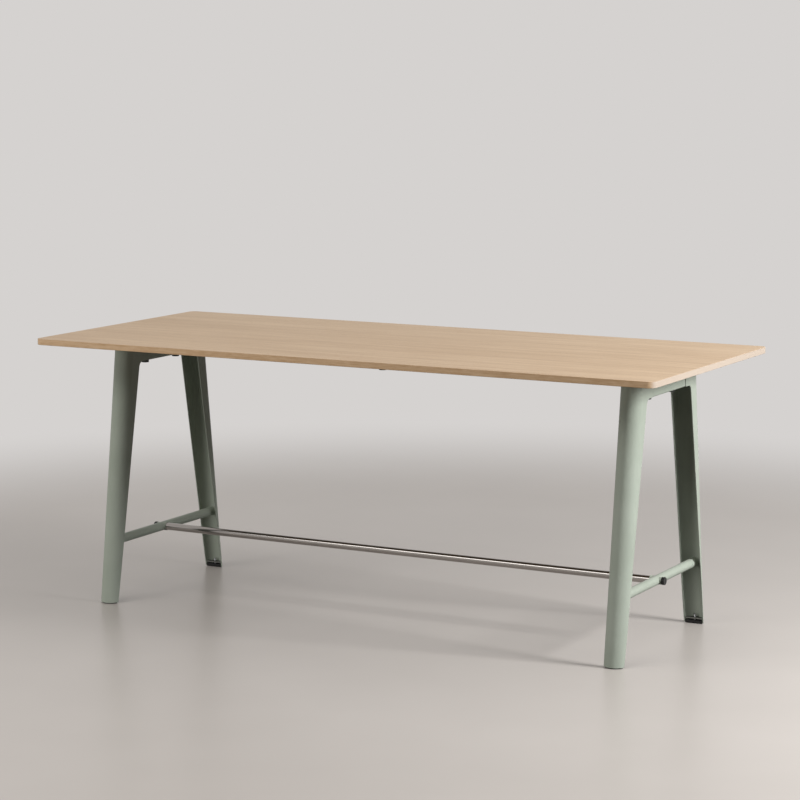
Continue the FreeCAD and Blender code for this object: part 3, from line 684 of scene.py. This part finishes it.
def add_welds():
    """All beads as one piece, under the coat."""
    path = bpy.data.meshes.new("weld_paths")
    corners = []
    edges = []
    for seam in rail_seams() + tongue_seams():
        first = len(corners)
        corners += seam
        edges += [(index, index + 1) for index in range(first, first + len(seam) - 1)]
    path.from_pydata(corners, edges, [])
    mesh = grow("weld_beads", bead_tree(), {"Radius": BEAD_RADIUS, "Step": BEAD_STEP}, sage, path)
    add_piece("weld_beads", mesh, sage, "green_powder_coat", "table")


# Pieces with the form of their nodes
SHEET_EASE = 0.5 * MM
FINE_EASE = 0.3 * MM


def add_top():
    """The oak panel."""
    eased_copy("oak", "tabletop", oak, "oak")


def add_steelwork():
    """Bent sheet, tubes and plates, all under one coat."""
    for corner in CORNERS:
        eased_copy("coated", "leg_" + corner, sage, "green_powder_coat", SHEET_EASE)
        eased_copy("coated", "tongue_" + corner, sage, "green_powder_coat", FINE_EASE)
    for end in ENDS:
        eased_copy("coated", "beam_" + end, sage, "green_powder_coat", SHEET_EASE)
        eased_copy("coated", "footrest_rail_" + end, sage, "green_powder_coat")
        eased_copy("coated", "bar_socket_" + end, sage, "green_powder_coat", SHEET_EASE)
        eased_copy("coated", "knob_seat_" + end, sage, "green_powder_coat", SHEET_EASE)
    for row in ROWS:
        eased_copy("coated", "stiffener_" + row, sage, "green_powder_coat", FINE_EASE)


def add_fittings():
    """The footrest bar, the small plated pieces and the pads in the feet."""
    eased_copy("brushed", "footrest_bar", stainless, "stainless")
    for end in ENDS:
        eased_copy("plated", "bar_plug_" + end, bright_zinc, "zinc_steel")
    eased_copy("plated", "tabletop_inserts", bright_zinc, "zinc_steel")
    eased_copy("plated", "knob_washers", bright_zinc, "zinc_steel")
    for corner in CORNERS:
        # The foot plates take the darker zinc, which is partly painted shade
        eased_copy("plated", "foot_plate_" + corner, dull_zinc, "zinc_steel", FINE_EASE)
        eased_copy("moulded", "glide_" + corner, nylon, "black_plastic", FINE_EASE)


add_top()
add_steelwork()
add_fittings()
add_knobs()
add_screws()
add_welds()


# Floor, light and camera
BACKDROP = paint(213, 210, 208)


def shown_to_eye(graph):
    """1 on the rays that show a thing to the camera: straight, in a mirror or through glass."""
    straight, mirrored, through = graph.node(
        "ShaderNodeLightPath", output=("Is Camera Ray", "Is Glossy Ray", "Is Transmission Ray")
    )
    return straight + mirrored + through


def pale_floor():
    """A plain floor that turns into an even pale backdrop away from the table; clear from below."""
    near = 2.1
    far = 4.2
    bounce = paint(84, 81, 78)
    ground = Finish("pale_floor", Specular_IOR_Level=0.35, Roughness=0.32)
    distance = ground.node("ShaderNodeVectorMath", {"operation": "LENGTH"}, {0: ground.place}, output="Value")
    mottle = ground.noise(ground.place, 2.2, 2.0)
    eye = shown_to_eye(ground)
    pale = ground.blend(mottle, paint(179, 172, 166), paint(187, 180, 174))
    ground.feed(Base_Color=ground.blend(eye, bounce, pale))
    surface = Value(ground, ground.shader.outputs["BSDF"])
    glow = ground.node("ShaderNodeEmission", inputs={"Color": BACKDROP, "Strength": 1.0})
    share = distance.ease(near, far) * eye
    from_above = ground.node("ShaderNodeMixShader", inputs={0: share, 1: surface, 2: glow})
    clear = ground.node("ShaderNodeBsdfTransparent")
    below = ground.node("ShaderNodeNewGeometry", output="Backfacing")
    one_sided = ground.node("ShaderNodeMixShader", inputs={0: below, 1: from_above, 2: clear})
    ground.tree.links.new(one_sided.socket, ground.tree.nodes["Material Output"].inputs["Surface"])
    return ground.material


def add_floor():
    """A wide disc; past its rim the sky shows the same backdrop."""
    reach = 60.0
    sides = 96
    disc = bmesh.new()
    bmesh.ops.create_circle(disc, cap_ends=True, segments=sides, radius=reach)
    mesh = bpy.data.meshes.new("floor")
    disc.to_mesh(mesh)
    disc.free()
    mesh.materials.append(pale_floor())
    floor = bpy.data.objects.new("floor", mesh)
    bpy.context.scene.collection.objects.link(floor)


def add_lamp(name, place, target, size, power, colour):
    """A rectangular lamp, sizes across and up, that looks at the target."""
    lamp = bpy.data.lights.new(name, "AREA")
    lamp.shape = "RECTANGLE"
    lamp.size, lamp.size_y = size
    lamp.energy = power
    lamp.color = colour
    holder = bpy.data.objects.new(name, lamp)
    holder.location = place
    holder.rotation_euler = (Vector(target) - Vector(place)).to_track_quat("-Z", "Y").to_euler()
    bpy.context.scene.collection.objects.link(holder)
    return holder


def add_lamps():
    """A soft lamp off the right end, and two weaker ones, low on the front left and high in front."""
    cool = (0.975, 0.99, 1.0)
    warm = (1.0, 0.985, 0.96)
    add_lamp("window_light", (4.2, 0.05, 2.15), (0.6, 0.0, 0.6), (1.0, 1.3), 200.0, cool)
    left_fill = add_lamp("left_fill", (-3.7, -4.6, 1.1), (0.0, 0.0, 0.7), (3.0, 1.4), 85.0, warm)
    # The floor would mirror a lamp this low as a white patch
    left_fill.visible_glossy = False
    add_lamp("front_fill", (-1.6, -4.6, 3.9), (0.0, 0.0, 0.5), (4.0, 1.6), 64.0, warm)


def add_sky():
    """A sky that dims towards the horizon and shows as the even backdrop."""
    dim = (0.03, 0.03, 0.03, 1.0)
    bright = (0.68, 0.68, 0.68, 1.0)
    world = bpy.data.worlds.new("studio")
    world.use_nodes = True
    sky = Graph(world.node_tree)
    _, _, rise = sky.split(sky.node("ShaderNodeTexCoord", output="Generated"))
    light = sky.blend(rise.ease(0.25, 0.65), dim, bright)
    colour = sky.blend(shown_to_eye(sky), light, BACKDROP)
    sky.tree.links.new(colour.socket, sky.tree.nodes["Background"].inputs["Color"])
    bpy.context.scene.world = world


def add_camera():
    """The photograph's view: above and to the right of the front long side."""
    focal_pixels = 2487.9
    picture_pixels = 800
    place = (3.827, -7.0748, 1.8864)
    down = 8.3158
    turn = 28.3293
    lens = bpy.data.cameras.new("camera")
    lens.sensor_width = 36.0
    lens.lens = lens.sensor_width * focal_pixels / picture_pixels
    camera = bpy.data.objects.new("camera", lens)
    camera.location = place
    camera.rotation_euler = (math.radians(90 - down), 0.0, math.radians(turn))
    bpy.context.scene.collection.objects.link(camera)
    bpy.context.scene.camera = camera


add_floor()
add_lamps()
add_sky()
add_camera()
bpy.context.scene.view_settings.view_transform = "Standard"
